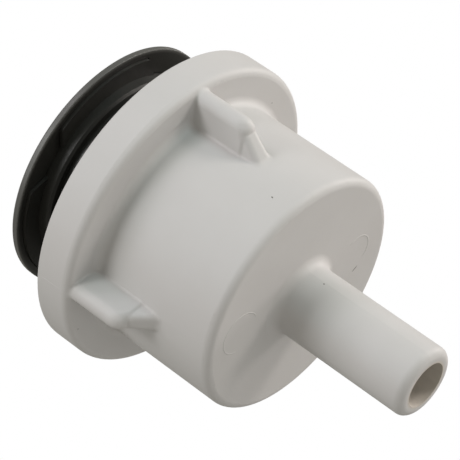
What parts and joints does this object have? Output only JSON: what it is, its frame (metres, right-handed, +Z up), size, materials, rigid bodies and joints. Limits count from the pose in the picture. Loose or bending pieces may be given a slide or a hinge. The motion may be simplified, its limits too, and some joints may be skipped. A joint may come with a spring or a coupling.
{
  "type": "through-deck fill fitting with screw cap",
  "caption": "Small-bore through-deck fill fitting: dark keyed face with a recessed screw cap, and a pale winged body with a smooth hose tail that screws up from below to clamp the deck.",
  "frame": {"origin": "centre of the deck surface that the keyed flange sits on", "axes": "+Z up out of the deck along the fitting's axis, towards the cap; the four wings lie along +X, +Y, -X and -Y; the hose tail points along -Z"},
  "size_m": [0.0484, 0.0484, 0.0621],
  "materials": {
    "charcoal_plastic": "moulded charcoal grey, fine matt grain",
    "white_plastic": "moulded off-white, satin",
    "black_rubber": "black nitrile rubber",
    "washer_plastic": "natural slippery plastic",
    "strainer_plastic": "black moulded ring",
    "strainer_wire": "stainless screen"
  },
  "bodies": {
    "deck_side": {"deck_fitting": "charcoal_plastic", "trim_plate": "charcoal_plastic", "neck_o_ring": "black_rubber", "strainer_frame": "strainer_plastic", "strainer_mesh": "strainer_wire"},
    "cap_seal": {"cap_o_ring": "black_rubber"},
    "cap": {"fill_cap": "charcoal_plastic"},
    "clamp_seal": {"panel_gasket": "black_rubber", "slip_washer": "washer_plastic"},
    "tail": {"tail_body": "white_plastic"}
  },
  "joints": [
    {"name": "cap_lift", "type": "slide", "parent": "deck_side", "child": "cap_seal", "axis": [0, 0, 1], "range_m": [0, 0.0125]},
    {"name": "cap_turn", "type": "hinge", "parent": "cap_seal", "child": "cap", "pos_m": [0, 0, 0.0014], "axis": [0, 0, 1], "range_deg": [0, 1799]},
    {"name": "body_travel", "type": "slide", "parent": "deck_side", "child": "clamp_seal", "axis": [0, 0, -1], "range_m": [-0.005, 0.018]},
    {"name": "body_turn", "type": "hinge", "parent": "clamp_seal", "child": "tail", "pos_m": [0, 0, -0.012], "axis": [0, 0, -1], "range_deg": [-565, 2038]}
  ],
  "couplings": [
    {"joint": "cap_lift", "follows": "cap_turn", "m_per_rad": 0.00039789},
    {"joint": "body_travel", "follows": "body_turn", "m_per_rad": 0.00050532}
  ]
}
